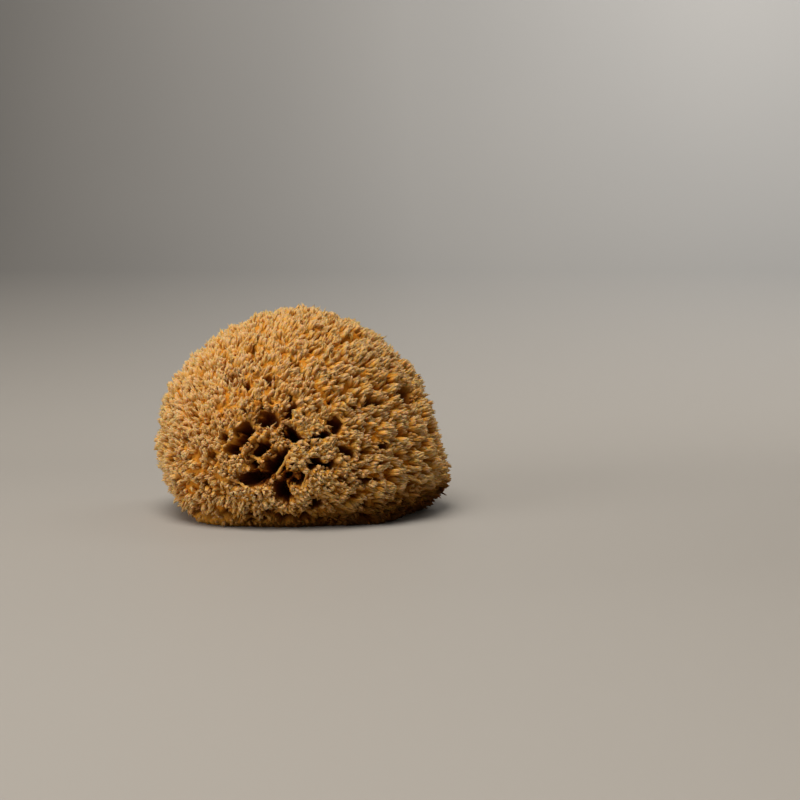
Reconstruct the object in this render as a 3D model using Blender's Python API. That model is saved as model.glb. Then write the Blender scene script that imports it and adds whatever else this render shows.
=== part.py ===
"""A natural sea sponge of the tufted wool kind, dried, and cut flat at its foot.

The sponge grew as one piece, so it is one solid. Its surface is a skin measured outwards from
one growth centre: a domed form, parted into clumps by shallow creases, sunk by canals and pores,
and covered with pointed tufts. Sizes are in millimetres here, and the mesh is made in metres.
The sponge stands on its cut foot at z = 0, with the side that has the open canals facing -Y.
"""

import math

import bmesh
import bpy
import numpy as np

MM = 0.001

# Driving sizes of the form, out to the tips of the tufts
HALF_WIDTH = 65.0
HALF_DEPTH = 59.0
HEIGHT = 91.5
WAIST_HEIGHT = 22.0  # of the widest ring, where the growth centre lies
GROWTH_CENTRE = np.array((-1.1, 0.7, WAIST_HEIGHT))
UNDER_HEIGHT = 34.0  # how far the form would reach under its waist, were the foot not cut off
SWELL_HEIGHT = 1.1  # slow rise and fall of the whole form
SWELL_WAVES = ((5.1, 1.3), (4.3, 0.4), (5.7, 0.77))  # radians per unit of direction, and phase

# Parts of the form that stand out or fall back: azimuth, elevation, spread in degrees; height in mm
LOBES = (
    (180, 31, 16, 2.2),
    (0, 57, 28, -2.4),
    (0, 11, 16, -3.0),
    (0, -14, 18, 5.6),
    (-173, -15, 14, -4.0),
    (-138, -27, 19, 6.2),
    (-95, -27, 15, 1.6),
    (-46, -28, 17, 5.4),
    (-40, 55, 16, 1.6),
    (-128, 41, 12, -1.4),
    (140, -26, 22, 5.0),
    (60, 40, 26, 2.2),
    (120, 10, 24, -2.4),
    (95, 68, 20, 1.6),
)

# Tufts, and the clumps that they stand in
TUFT_LENGTH = 4.2
TUFT_VARIATION = 0.16  # share by which a tuft is longer or shorter
TUFT_LEAN = 0.15  # random lean of a tuft, as a share of its length
SHORT_TUFT = 1.5  # on the walls between the canals, on a pore's collar and by the foot
COLLAR = 0.75  # reach of the short tufts round a pore, as a share of its radius
FOOT_FADE = 9.0  # height over which the tufts grow to their full length
LOWEST_TIP = 0.7
CLUMP_COUNT = 380
CLUMP_JITTER = 0.035
CREASE_DEPTH = 3.0
CREASE_SHARE = 0.45  # of a clump's radius that slopes into the crease round it

# Canals where they crowd together on the front: azimuth, elevation, reach and fade in degrees
CANAL_FIELD = (-100, 6, 21, 12)

# Canals and hollows of the front: azimuth and elevation in degrees from the growth centre, where
# 0 is +X and -90 is -Y; width, height and depth in mm; slant of the height in degrees, clockwise
FRONT_CANALS = (
    (-105.5, 24, 10.4, 8.8, 9, 0),
    (-115.8, 17.5, 6.4, 11.6, 14, 12),
    (-120.8, 11.3, 5.0, 3.8, 10, 0),
    (-107.7, 11.7, 10.0, 5.8, 15, -35),
    (-111.2, 6.3, 3.6, 3.6, 12, 0),
    (-100.7, 6.2, 6.0, 13.4, 16, 34),
    (-94.5, 18, 8.2, 5.6, 15, 39),
    (-95, 28.5, 4.0, 8.6, 8, 32),
    (-82.5, 16.9, 8.4, 4.2, 14, -17),
    (-82, 5.6, 11.6, 5.0, 13, 12),
    (-95.7, 1, 5.6, 4.4, 13, -42),
    (-111, -0.4, 14.6, 7.0, 16, -2),
    (-98.3, -6.8, 6.8, 10.0, 16, -26),
    (-90.8, -1, 4.4, 7.6, 10, 39),
    (-105, -15, 4.4, 3.6, 9, 0),
    (-84.2, -12, 6.8, 4.0, 9, -34),
    (-98.9, -19.8, 9.0, 3.8, 9, 15),
    (-85.9, -20.7, 9.0, 3.8, 9, -10),
    (-114, -18.5, 5.8, 3.6, 8, 0),
    (-74.5, 21.5, 6.2, 8.2, 8, 0),
)
FRONT_HOLLOWS = (
    (-129, 41, 12.0, 6.4, 5, -10),
    (-120.5, 50, 5.6, 5.0, 5, 0),
    (-31, 31, 12.0, 12.5, 11, 8),
    (-54.5, 29.5, 10.4, 6.0, 8, 10),
    (-143, 12, 5.2, 5.2, 7, 0),
    (-70.9, 10.3, 9.6, 4.4, 7, 29),
    (-53.6, 11.7, 8.2, 5.2, 7, -5),
    (-62.3, -2.2, 14.0, 3.8, 6, -3),
    (-39.6, -5.4, 13.0, 4.4, 6, -6),
    (-62.5, -12.1, 4.8, 5.2, 8, -20),
    (-47, -12.5, 7.4, 3.8, 7, 0),
)

# Pores that are scattered over the rest of the sponge, and canals that the cut opened in its foot
SEEN_FRONT = (-88, 15, 64)  # azimuth, elevation and reach of the side where the photo shows every opening
SIDE_PORES = 25
SIDE_PORE_GAP = 15.0  # degrees between two pores
SIDE_PORE_TRIES = 4000
LOWEST_SIDE_PORE = -14.0  # degrees of elevation
HIGHEST_SIDE_PORE = 80.0
PORE_WIDTHS = (4.6, 9.0)
PORE_DEPTHS = (8.0, 15.0)
PORE_SLANT = 40.0
FOOT_CANALS = 11
FOOT_CANAL_WIDTHS = (4.6, 5.7, 6.8)  # taken in turn
FOOT_CANAL_HEIGHTS = (4.6, 5.4, 6.2, 7.0)  # taken in turn
FOOT_CANAL_RADII = (7.0, 35.0)  # distance of their mouths from the foot's centre
FOOT_CANAL_DEPTH = 8.0

# Profile of a pore, as shares of its radius
RIM = 1.0
FLOOR = 0.68
SAME_SIDE = 0.3  # cosine to a pore's axis below which a direction is out of the pore's reach

# Spacing of the points that carry the surface
SKIN_SPACING = 4.35
CANAL_FIELD_SPACING = 3.2
FOOT_SPACING = 7.5
FOOT_EDGE_POINTS = 100
FOOT_EDGE_ELEVATIONS = (-85.0, -3.0)  # between which the foot's edge lies all the way round
HALVINGS = 30
RING_SPACING = 2.3
CLOSEST_RING_POINTS = 0.7
CANDIDATE_POINTS = 26000
PORE_MARGIN = 0.15  # as a share of a pore's radius, kept free of the evenly spread points

SEED = 7
FAR = 1e6
TOUCHING = 0.02  # mm, within which a point counts as on the foot, or as outside a pore

SPONGE_COLOUR = (0.50, 0.27, 0.095, 1.0)
SPONGE_ROUGHNESS = 0.95


def unit(azimuth, elevation):
    """The direction at this azimuth and elevation, in degrees."""
    around, above = np.radians(azimuth), np.radians(elevation)
    level = np.cos(above)
    return np.stack((level * np.cos(around), level * np.sin(around), np.sin(above)), axis=-1)


def degrees_from(directions, middle):
    """The angle of each direction from the middle one."""
    return np.degrees(np.arccos(np.clip(directions @ middle, -1.0, 1.0)))


def smooth_step(value):
    """0 below 0, 1 above 1, and a smooth slope between."""
    t = np.clip(value, 0.0, 1.0)
    return t * t * (3.0 - 2.0 * t)


def spiral_directions(count):
    """Directions spread evenly over a ball along a golden spiral."""
    index = np.arange(count) + 0.5
    height = 1.0 - 2.0 * index / count
    around = index * math.pi * (3.0 - math.sqrt(5.0))
    level = np.sqrt(1.0 - height**2)
    return np.stack((level * np.cos(around), level * np.sin(around), height), axis=1)


def floor_radius(directions):
    """Distance from the growth centre to the cut foot along each direction, or a far one upwards."""
    falls = np.maximum(-directions[:, 2], 1e-6)
    return np.where(directions[:, 2] < 0.0, WAIST_HEIGHT / falls, FAR)


def form_radius(directions):
    """Distance from the growth centre to the tips of the tufts: two half ellipsoids with lobes."""
    x, y, z = directions.T
    half_height = np.where(z > 0.0, HEIGHT - WAIST_HEIGHT, UNDER_HEIGHT)
    inverse = (x / HALF_WIDTH) ** 2 + (y / HALF_DEPTH) ** 2 + (z / half_height) ** 2
    radius = 1.0 / np.sqrt(inverse)
    for azimuth, elevation, spread, height in LOBES:
        away = degrees_from(directions, unit(azimuth, elevation)) / spread
        radius += height * np.exp(-(away**2))
    swell = SWELL_HEIGHT
    for part, (pace, phase) in zip((x, y, z), SWELL_WAVES):
        swell = swell * np.sin(pace * part + phase)
    return radius + swell


class Pore:
    """One opening in the skin, an oval well whose axis points at the growth centre."""

    def __init__(self, azimuth, elevation, width, height, depth, slant):
        self.axis = unit(azimuth, elevation)
        across = np.cross((0.0, 0.0, 1.0), self.axis)
        across /= np.linalg.norm(across)
        upwards = np.cross(self.axis, across)
        turn = math.radians(slant)
        self.across = math.cos(turn) * across - math.sin(turn) * upwards
        self.upwards = math.sin(turn) * across + math.cos(turn) * upwards
        self.half_width = width / 2.0
        self.half_height = height / 2.0
        self.depth = depth
        middle = self.axis[None, :]
        self.distance = min(form_radius(middle)[0], floor_radius(middle)[0])

    def share(self, directions):
        """Distance from the pore's axis as a share of its radius there, 1 at the rim."""
        along = directions @ self.axis
        scale = self.distance / np.maximum(along, SAME_SIDE)
        sideways = directions @ self.across * scale / self.half_width
        upright = directions @ self.upwards * scale / self.half_height
        return np.where(along > SAME_SIDE, np.hypot(sideways, upright), FAR)

    def sunk(self, directions):
        """How far the pore sinks the skin along each direction."""
        return self.depth * (1.0 - smooth_step((self.share(directions) - FLOOR) / (RIM - FLOOR)))

    def ring(self, share):
        """Directions round the pore at this share of its radius, or its axis alone at 0."""
        if share == 0.0:
            return self.axis[None, :]
        girth = math.pi * (self.half_width + self.half_height)
        count = max(6, round(girth / RING_SPACING))
        angle = (np.arange(count) + 0.5 * (share < RIM)) * 2.0 * math.pi / count
        sideways = np.cos(angle) * self.half_width * share / self.distance
        upright = np.sin(angle) * self.half_height * share / self.distance
        found = self.axis + sideways[:, None] * self.across + upright[:, None] * self.upwards
        return found / np.linalg.norm(found, axis=1)[:, None]


def scattered_pores(random):
    """Pores over the sides, back and top, clear of one another and of the front's own canals."""
    azimuth, elevation, reach = SEEN_FRONT
    taken = [unit(azimuth, elevation)]
    clearances = [reach]
    for row in FRONT_HOLLOWS:
        taken.append(unit(row[0], row[1]))
        clearances.append(SIDE_PORE_GAP)
    lowest, highest = math.sin(math.radians(LOWEST_SIDE_PORE)), math.sin(math.radians(HIGHEST_SIDE_PORE))
    pores = []
    for _ in range(SIDE_PORE_TRIES):
        around = random.uniform(-180.0, 180.0)
        above = math.degrees(math.asin(random.uniform(lowest, highest)))
        width, height = random.uniform(*PORE_WIDTHS, size=2)
        depth, slant = random.uniform(*PORE_DEPTHS), random.uniform(-PORE_SLANT, PORE_SLANT)
        direction = unit(around, above)
        crowded = np.any(degrees_from(np.array(taken), direction) < np.array(clearances))
        if len(pores) < SIDE_PORES and not crowded:
            taken.append(direction)
            clearances.append(SIDE_PORE_GAP)
            pores.append(Pore(around, above, width, height, depth, slant))
    return pores


def foot_canals():
    """Mouths of canals in the cut foot, along a golden spiral out from its centre."""
    pores = []
    nearest, farthest = FOOT_CANAL_RADII
    for step in range(FOOT_CANALS):
        outwards = nearest + (farthest - nearest) * math.sqrt(step / (FOOT_CANALS - 1))
        azimuth = math.degrees(step * math.pi * (3.0 - math.sqrt(5.0)))
        elevation = -math.degrees(math.atan2(WAIST_HEIGHT, outwards))
        width = FOOT_CANAL_WIDTHS[step % len(FOOT_CANAL_WIDTHS)]
        height = FOOT_CANAL_HEIGHTS[step % len(FOOT_CANAL_HEIGHTS)]
        pores.append(Pore(azimuth, elevation, width, height, FOOT_CANAL_DEPTH, 0.0))
    return pores


class Skin:
    """The surface of the sponge without its tufts, as a distance from the growth centre."""

    def __init__(self, random):
        self.pores = [Pore(*row) for row in FRONT_CANALS + FRONT_HOLLOWS]
        self.pores += scattered_pores(random) + foot_canals()
        centres = spiral_directions(CLUMP_COUNT)
        centres += random.normal(scale=CLUMP_JITTER, size=centres.shape)
        self.clump_centres = centres / np.linalg.norm(centres, axis=1)[:, None]

    def nearest_pore(self, directions):
        """Smallest distance from any pore's axis, as a share of that pore's radius."""
        return np.min([pore.share(directions) for pore in self.pores], axis=0)

    def sunk(self, directions):
        """How far the pores sink the skin."""
        return np.max([pore.sunk(directions) for pore in self.pores], axis=0)

    def fullness(self, directions):
        """1 where the tufts are full, 0 between the canals, on a pore's collar and by the foot."""
        azimuth, elevation, reach, fade = CANAL_FIELD
        from_field = (degrees_from(directions, unit(azimuth, elevation)) - reach) / fade
        height = WAIST_HEIGHT + directions[:, 2] * form_radius(directions)
        from_pore = (self.nearest_pore(directions) - RIM) / COLLAR
        return smooth_step(np.min((from_field, height / FOOT_FADE, from_pore), axis=0))

    def tuft_length(self, directions):
        """Length of the tufts along each direction."""
        return SHORT_TUFT + (TUFT_LENGTH - SHORT_TUFT) * self.fullness(directions)

    def crease(self, directions):
        """How far the skin sinks between clumps, most midway between two clump centres."""
        nearness = np.sort(directions @ self.clump_centres.T, axis=1)
        nearest = np.arccos(np.clip(nearness[:, -1], -1.0, 1.0))
        second = np.arccos(np.clip(nearness[:, -2], -1.0, 1.0))
        clump_radius = 2.0 / math.sqrt(CLUMP_COUNT)
        inwards = (second - nearest) / (clump_radius * CREASE_SHARE * 2.0)
        return CREASE_DEPTH * (1.0 - smooth_step(inwards)) * self.fullness(directions)

    def radius(self, directions):
        """Distance of the skin from the growth centre, before the pores and the foot are cut."""
        return form_radius(directions) - self.tuft_length(directions) - self.crease(directions)


def foot_edge(skin):
    """Directions of the foot's outline, found by halving the span of elevation that holds it."""
    azimuth = np.arange(FOOT_EDGE_POINTS) * 360.0 / FOOT_EDGE_POINTS
    low, high = (np.full(FOOT_EDGE_POINTS, elevation) for elevation in FOOT_EDGE_ELEVATIONS)
    for _ in range(HALVINGS):
        middle = (low + high) / 2.0
        directions = unit(azimuth, middle)
        inside = skin.radius(directions) > floor_radius(directions)
        low, high = np.where(inside, middle, low), np.where(inside, high, middle)
    return unit(azimuth, low)


class Scatter:
    """Directions chosen one by one, each refused if it stands too near an earlier one."""

    def __init__(self, limit):
        self.directions = np.empty((limit, 3))
        self.places = np.empty((limit, 3))
        self.count = 0

    def add(self, directions, spacing):
        """Adds those directions whose place on the form is at least this far from all before it."""
        places = directions * np.minimum(form_radius(directions), floor_radius(directions))[:, None]
        for direction, place, gap in zip(directions, places, np.broadcast_to(spacing, len(places))):
            apart = self.places[: self.count] - place
            if self.count and np.min(np.einsum("ij,ij->i", apart, apart)) < gap**2:
                continue
            self.directions[self.count] = direction
            self.places[self.count] = place
            self.count += 1


def surface_directions(skin, random):
    """Directions that carry the surface: the pores' rings, the foot's edge, then an even spread."""
    scatter = Scatter(CANDIDATE_POINTS)
    for pore in skin.pores:
        others = [other for other in skin.pores if other is not pore]
        for share in (0.0, FLOOR, RIM):
            ring = pore.ring(share)
            inside_other = np.min([other.share(ring) for other in others], axis=0) < RIM
            scatter.add(ring[~inside_other | (share < RIM)], CLOSEST_RING_POINTS)

    edge = foot_edge(skin)
    scatter.add(edge[skin.nearest_pore(edge) > RIM], CLOSEST_RING_POINTS)

    candidates = spiral_directions(CANDIDATE_POINTS)[random.permutation(CANDIDATE_POINTS)]
    candidates = candidates[skin.nearest_pore(candidates) > RIM + PORE_MARGIN]
    azimuth, elevation, reach, _ = CANAL_FIELD
    in_field = degrees_from(candidates, unit(azimuth, elevation)) < reach
    spacing = np.where(in_field, CANAL_FIELD_SPACING, SKIN_SPACING)
    on_foot = floor_radius(candidates) < skin.radius(candidates)
    scatter.add(candidates, np.where(on_foot, FOOT_SPACING, spacing))
    return scatter.directions[: scatter.count]


def skin_points(skin, directions):
    """The surface's points in mm, with those on the foot exactly at z = 0."""
    sunk = skin.sunk(directions)
    outer, floor = skin.radius(directions), floor_radius(directions)
    radius = np.minimum(outer, floor) - sunk
    points = directions * radius[:, None] + GROWTH_CENTRE
    points[(outer > floor - TOUCHING) & (sunk < TOUCHING), 2] = 0.0
    return points


def raise_tufts(mesh, skin, directions, random):
    """Pokes each face of the skin that lies outside the pores and the foot into a pointed tuft."""
    sunk = skin.sunk(directions)
    growing = [
        face
        for face in mesh.faces
        if max(corner.co.z for corner in face.verts) > SHORT_TUFT * MM
        and max(sunk[corner.index] for corner in face.verts) < TOUCHING
    ]
    tips = bmesh.ops.poke(mesh, faces=growing, center_mode="MEAN")["verts"]
    roots = np.array([tip.co for tip in tips]) / MM
    outwards = roots - GROWTH_CENTRE
    outwards /= np.linalg.norm(outwards, axis=1)[:, None]
    length = skin.tuft_length(outwards) * (1.0 + TUFT_VARIATION * random.uniform(-1.0, 1.0, len(tips)))
    leaning = outwards + TUFT_LEAN * random.normal(size=outwards.shape)
    leaning /= np.linalg.norm(leaning, axis=1)[:, None]
    places = roots + leaning * length[:, None]
    places[:, 2] = np.maximum(places[:, 2], LOWEST_TIP)
    for tip, place in zip(tips, places * MM):
        tip.co = place


def sponge_material():
    """Dry tan sponge: matt, with no shine."""
    material = bpy.data.materials.new("dry_sponge")
    material.use_nodes = True
    shader = material.node_tree.nodes["Principled BSDF"]
    shader.inputs["Base Color"].default_value = SPONGE_COLOUR
    shader.inputs["Roughness"].default_value = SPONGE_ROUGHNESS
    shader.inputs["Metallic"].default_value = 0.0
    return material


def build_sponge():
    """Joins the directions by their hull on a ball, moves them out to the skin and adds the tufts."""
    random = np.random.default_rng(SEED)
    skin = Skin(random)
    directions = surface_directions(skin, random)

    mesh = bmesh.new()
    corners = [mesh.verts.new(direction) for direction in directions]
    bmesh.ops.convex_hull(mesh, input=corners)
    bmesh.ops.recalc_face_normals(mesh, faces=mesh.faces)
    mesh.verts.index_update()
    for corner, point in zip(mesh.verts, skin_points(skin, directions) * MM):
        corner.co = point
    raise_tufts(mesh, skin, directions, random)

    data = bpy.data.meshes.new("sponge")
    mesh.to_mesh(data)
    mesh.free()
    data.materials.append(sponge_material())
    bpy.context.scene.collection.objects.link(bpy.data.objects.new("sponge", data))


for old in list(bpy.data.objects):
    bpy.data.objects.remove(old)
build_sponge()
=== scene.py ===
"""A natural sea sponge of the tufted wool kind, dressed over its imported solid.

The sponge grew as one piece. Its skin is a distance measured outwards from one growth centre: a
domed form, sunk by canals and pores and cut flat at the foot. Tufts of fibre stand on the skin and
stubby knots on the walls between the canals. Lengths are in millimetres until a mesh is made, and
the meshes are in metres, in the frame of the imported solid.
"""

import logging
import math
from collections.abc import Callable
from dataclasses import dataclass
from enum import Enum

import bpy
import numpy as np
from mathutils import Matrix, Vector


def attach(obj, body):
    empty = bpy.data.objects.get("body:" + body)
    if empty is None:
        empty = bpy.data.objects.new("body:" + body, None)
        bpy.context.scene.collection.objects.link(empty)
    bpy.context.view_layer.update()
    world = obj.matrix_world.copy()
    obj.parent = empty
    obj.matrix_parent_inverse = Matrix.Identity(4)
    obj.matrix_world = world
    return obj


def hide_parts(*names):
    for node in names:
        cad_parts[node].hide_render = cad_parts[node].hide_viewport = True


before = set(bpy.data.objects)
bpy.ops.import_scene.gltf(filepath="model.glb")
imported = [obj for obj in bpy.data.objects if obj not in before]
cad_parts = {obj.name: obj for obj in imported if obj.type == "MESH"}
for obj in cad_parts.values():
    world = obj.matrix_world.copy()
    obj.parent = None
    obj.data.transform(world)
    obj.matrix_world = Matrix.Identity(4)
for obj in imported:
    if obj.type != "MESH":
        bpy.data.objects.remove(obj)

MM = 0.001
SEED = 7
FAR = 1e6  # mm, or a share, that is out of reach
SAME_SIDE = 0.3  # cosine to an opening's axis below which a direction is out of its reach
DARKEST_SHADE_DEPTH = 10.0  # mm down an opening at which its painted shade is the darkest
CELL_MARGIN = 0.07  # left free at each side of a shape's cell of the flat map, as a share
BLOCK = 4096  # directions worked on at a time, which bounds the memory used
GOLDEN_TURN = math.pi * (3.0 - math.sqrt(5.0))
LOG = logging.getLogger("sponge")


def unit(azimuth: np.ndarray, elevation: np.ndarray) -> np.ndarray:
    """Directions at these azimuths and elevations, in degrees."""
    around, above = np.radians(azimuth), np.radians(elevation)
    level = np.cos(above)
    return np.stack((level * np.cos(around), level * np.sin(around), np.sin(above)), axis=-1)


def normalised(vectors: np.ndarray) -> np.ndarray:
    """The vectors at length 1."""
    return vectors / np.linalg.norm(vectors, axis=-1, keepdims=True)


def degrees_from(directions: np.ndarray, middle: np.ndarray) -> np.ndarray:
    """The angle of each direction from the middle one."""
    return np.degrees(np.arccos(np.clip(directions @ middle, -1.0, 1.0)))


def smooth_step(value: np.ndarray) -> np.ndarray:
    """0 below 0, 1 above 1, and a smooth slope between."""
    t = np.clip(value, 0.0, 1.0)
    return t * t * (3.0 - 2.0 * t)


def spiral_directions(count: int) -> np.ndarray:
    """Directions spread evenly over a ball along a golden spiral."""
    index = np.arange(count) + 0.5
    height = 1.0 - 2.0 * index / count
    level = np.sqrt(1.0 - height**2)
    around = index * GOLDEN_TURN
    return np.stack((level * np.cos(around), level * np.sin(around), height), axis=1)


def in_blocks(function: Callable[[np.ndarray], np.ndarray], directions: np.ndarray) -> np.ndarray:
    """The function's result for all directions, worked out block by block.

    Args:
        function: takes (n, 3) directions and gives an array with n rows.
        directions: (m, 3) directions.

    Returns:
        The m rows of the result.
    """
    starts = range(0, len(directions), BLOCK)
    return np.concatenate([function(directions[start : start + BLOCK]) for start in starts])


def tangents(directions: np.ndarray) -> tuple[np.ndarray, np.ndarray]:
    """Two unit vectors square to each direction and to each other.

    Args:
        directions: (n, 3) unit vectors.

    Returns:
        The level one and the one that points up the surface.
    """
    poles = np.abs(directions[:, 2:3]) > 0.98
    helper = np.where(poles, np.array((1.0, 0.0, 0.0)), np.array((0.0, 0.0, 1.0)))
    across = normalised(np.cross(helper, directions))
    return across, np.cross(directions, across)


class WaveNoise:
    """Smooth noise: the sum of plane waves of nearly one length in random directions."""

    def __init__(self, random: np.random.Generator, wavelength: float, waves: int = 22) -> None:
        """Draws the waves; wavelength is in mm at the surface, or in the points' own unit."""
        pace = 2.0 * math.pi / (wavelength * random.uniform(0.75, 1.35, waves))
        self.vectors = normalised(random.normal(size=(waves, 3))) * pace[:, None]
        self.phases = random.uniform(0.0, 2.0 * math.pi, waves)
        self.scale = math.sqrt(2.0 / waves)

    def at(self, points: np.ndarray) -> np.ndarray:
        """The noise at (n, 3) points, with a spread of about 1 either way."""
        return np.sin(points @ self.vectors.T + self.phases).sum(axis=1) * self.scale


@dataclass(frozen=True)
class GrowthForm:
    """The domed form out to the tips of the tufts, as a distance from the growth centre."""

    half_width: float = 65.0
    half_depth: float = 59.0
    height: float = 91.5
    waist_height: float = 22.0
    under_height: float = 34.0
    centre: tuple[float, float, float] = (-1.1, 0.7, 22.0)
    swell_height: float = 1.1
    swell_waves: tuple = ((5.1, 1.3), (4.3, 0.4), (5.7, 0.77))  # pace and phase along X, Y and Z
    lobes: tuple = (  # azimuth, elevation and spread in degrees, height in mm
        (180, 31, 16, 2.2),
        (0, 57, 28, -2.4),
        (0, 11, 16, -3.0),
        (0, -14, 18, 5.6),
        (-173, -15, 14, -4.0),
        (-138, -27, 19, 6.2),
        (-95, -27, 15, 1.6),
        (-46, -28, 17, 5.4),
        (-40, 55, 16, 1.6),
        (-128, 41, 12, -1.4),
        (140, -26, 22, 5.0),
        (60, 40, 26, 2.2),
        (120, 10, 24, -2.4),
        (95, 68, 20, 1.6),
    )

    def reach(self, directions: np.ndarray) -> np.ndarray:
        """Distance to the tips: two half ellipsoids, plus a bell for each lobe, plus a slow swell."""
        x, y, z = directions.T
        half_height = np.where(z > 0.0, self.height - self.waist_height, self.under_height)
        inverse = (x / self.half_width) ** 2 + (y / self.half_depth) ** 2 + (z / half_height) ** 2
        radius = 1.0 / np.sqrt(inverse)
        for azimuth, elevation, spread, height in self.lobes:
            away = degrees_from(directions, unit(azimuth, elevation)) / spread
            radius += height * np.exp(-(away**2))
        swell = self.swell_height
        for part, (pace, phase) in zip((x, y, z), self.swell_waves):
            swell = swell * np.sin(pace * part + phase)
        return radius + swell

    def floor(self, directions: np.ndarray) -> np.ndarray:
        """Distance to the cut foot along each direction, or a far one upwards."""
        falls = np.maximum(-directions[:, 2], 1e-6)
        return np.where(directions[:, 2] < 0.0, self.waist_height / falls, FAR)

    def place(self, directions: np.ndarray, radius: np.ndarray) -> np.ndarray:
        """The points at these distances along the directions, in mm."""
        return directions * radius[:, None] + np.array(self.centre)


@dataclass(frozen=True)
class OpeningSizes:
    """Places and sizes of the canals, hollows and pores of the solid, and of the small holes added."""

    canals: tuple = (  # azimuth, elevation, width, height, depth, slant
        (-105.5, 24, 10.4, 8.8, 9, 0),
        (-115.8, 17.5, 6.4, 11.6, 14, 12),
        (-120.8, 11.3, 5.0, 3.8, 10, 0),
        (-107.7, 11.7, 10.0, 5.8, 15, -35),
        (-111.2, 6.3, 4.8, 4.8, 12, 0),
        (-100.7, 6.2, 6.0, 13.4, 16, 34),
        (-94.5, 18, 8.2, 5.6, 15, 39),
        (-95, 28.5, 4.0, 8.6, 8, 32),
        (-82.5, 16.9, 8.4, 4.2, 14, -17),
        (-82, 5.6, 11.6, 5.0, 13, 12),
        (-95.7, 1, 6.6, 5.6, 13, -42),
        (-111, -0.4, 14.6, 7.0, 16, -2),
        (-98.3, -6.8, 7.8, 11.0, 16, -26),
        (-90.8, -1, 4.4, 7.6, 10, 39),
        (-105, -15, 4.4, 3.6, 9, 0),
        (-84.2, -12, 6.8, 4.0, 9, -34),
        (-98.9, -19.8, 9.0, 3.8, 9, 15),
        (-85.9, -20.7, 9.0, 3.8, 9, -10),
        (-114, -18.5, 5.8, 3.6, 8, 0),
        (-74.5, 21.5, 6.2, 8.2, 8, 0),
    )
    hollows: tuple = (  # the same, away from the crowd of canals
        (-129, 41, 12.0, 6.4, 3.4, -10),
        (-120.5, 50, 5.6, 5.0, 3.2, 0),
        (-31, 31, 14.5, 12.5, 13, 8),
        (-54.5, 29.5, 10.4, 6.0, 8, 10),
        (-143, 12, 5.2, 5.2, 7, 0),
        (-70.9, 10.3, 9.6, 4.4, 7, 29),
        (-53.6, 11.7, 8.2, 5.2, 7, -5),
        (-62.3, -2.2, 14.0, 3.8, 6, -3),
        (-39.6, -5.4, 13.0, 4.4, 6, -6),
        (-62.5, -12.1, 4.8, 5.2, 8, -20),
        (-47, -12.5, 7.4, 3.8, 7, 0),
    )
    field: tuple[float, float, float, float] = (-100, 6, 21, 12)  # azimuth, elevation, reach, fade
    seen: tuple[float, float, float] = (-88, 15, 64)  # the side that has only the openings above
    side_pores: int = 25
    side_gap: float = 15.0
    side_tries: int = 4000
    side_elevations: tuple[float, float] = (-14.0, 80.0)
    side_widths: tuple[float, float] = (4.6, 9.0)
    side_depths: tuple[float, float] = (8.0, 15.0)
    side_slant: float = 40.0
    foot_canals: int = 11
    foot_widths: tuple = (4.6, 5.7, 6.8)
    foot_heights: tuple = (4.6, 5.4, 6.2, 7.0)
    foot_radii: tuple[float, float] = (7.0, 35.0)
    foot_depth: float = 8.0
    hollow_growth: float = 1.15  # by which hollows and side pores are wider than in the solid
    canal_growth: float = 1.3  # the same for the canals
    pinholes: int = 130
    pinhole_spread: tuple[float, float] = (18.6, 15.0)  # degrees sideways and upwards
    pinhole_drop: float = 4.0  # degrees from the middle of the canals down to theirs
    pinhole_widths: tuple[float, float] = (1.1, 2.6)
    pinhole_flatness: tuple[float, float] = (0.75, 1.2)  # height, as a share of the width
    pinhole_depths: tuple[float, float] = (2.0, 5.0)
    gaps: int = 500  # over the whole ball
    gap_jitter: float = 0.05
    gap_lowest: float = -0.3  # sine of the elevation under which there are none
    gap_widths: tuple[float, float] = (2.0, 5.4)
    gap_depths: tuple[float, float] = (2.0, 5.2)
    foot_pits: int = 40  # round the foot, just over its edge
    pit_elevation: float = -20.0  # in degrees, about that of the foot's edge
    pit_jitter: float = 2.0
    pit_heights: tuple[float, float] = (1.2, 5.6)
    pit_widths: tuple[float, float] = (4.2, 9.0)
    pit_flatness: tuple[float, float] = (0.5, 0.8)
    pit_depths: tuple[float, float] = (8.0, 12.0)
    pit_slant: float = 20.0
    any_slant: tuple[float, float] = (-90.0, 90.0)


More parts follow.
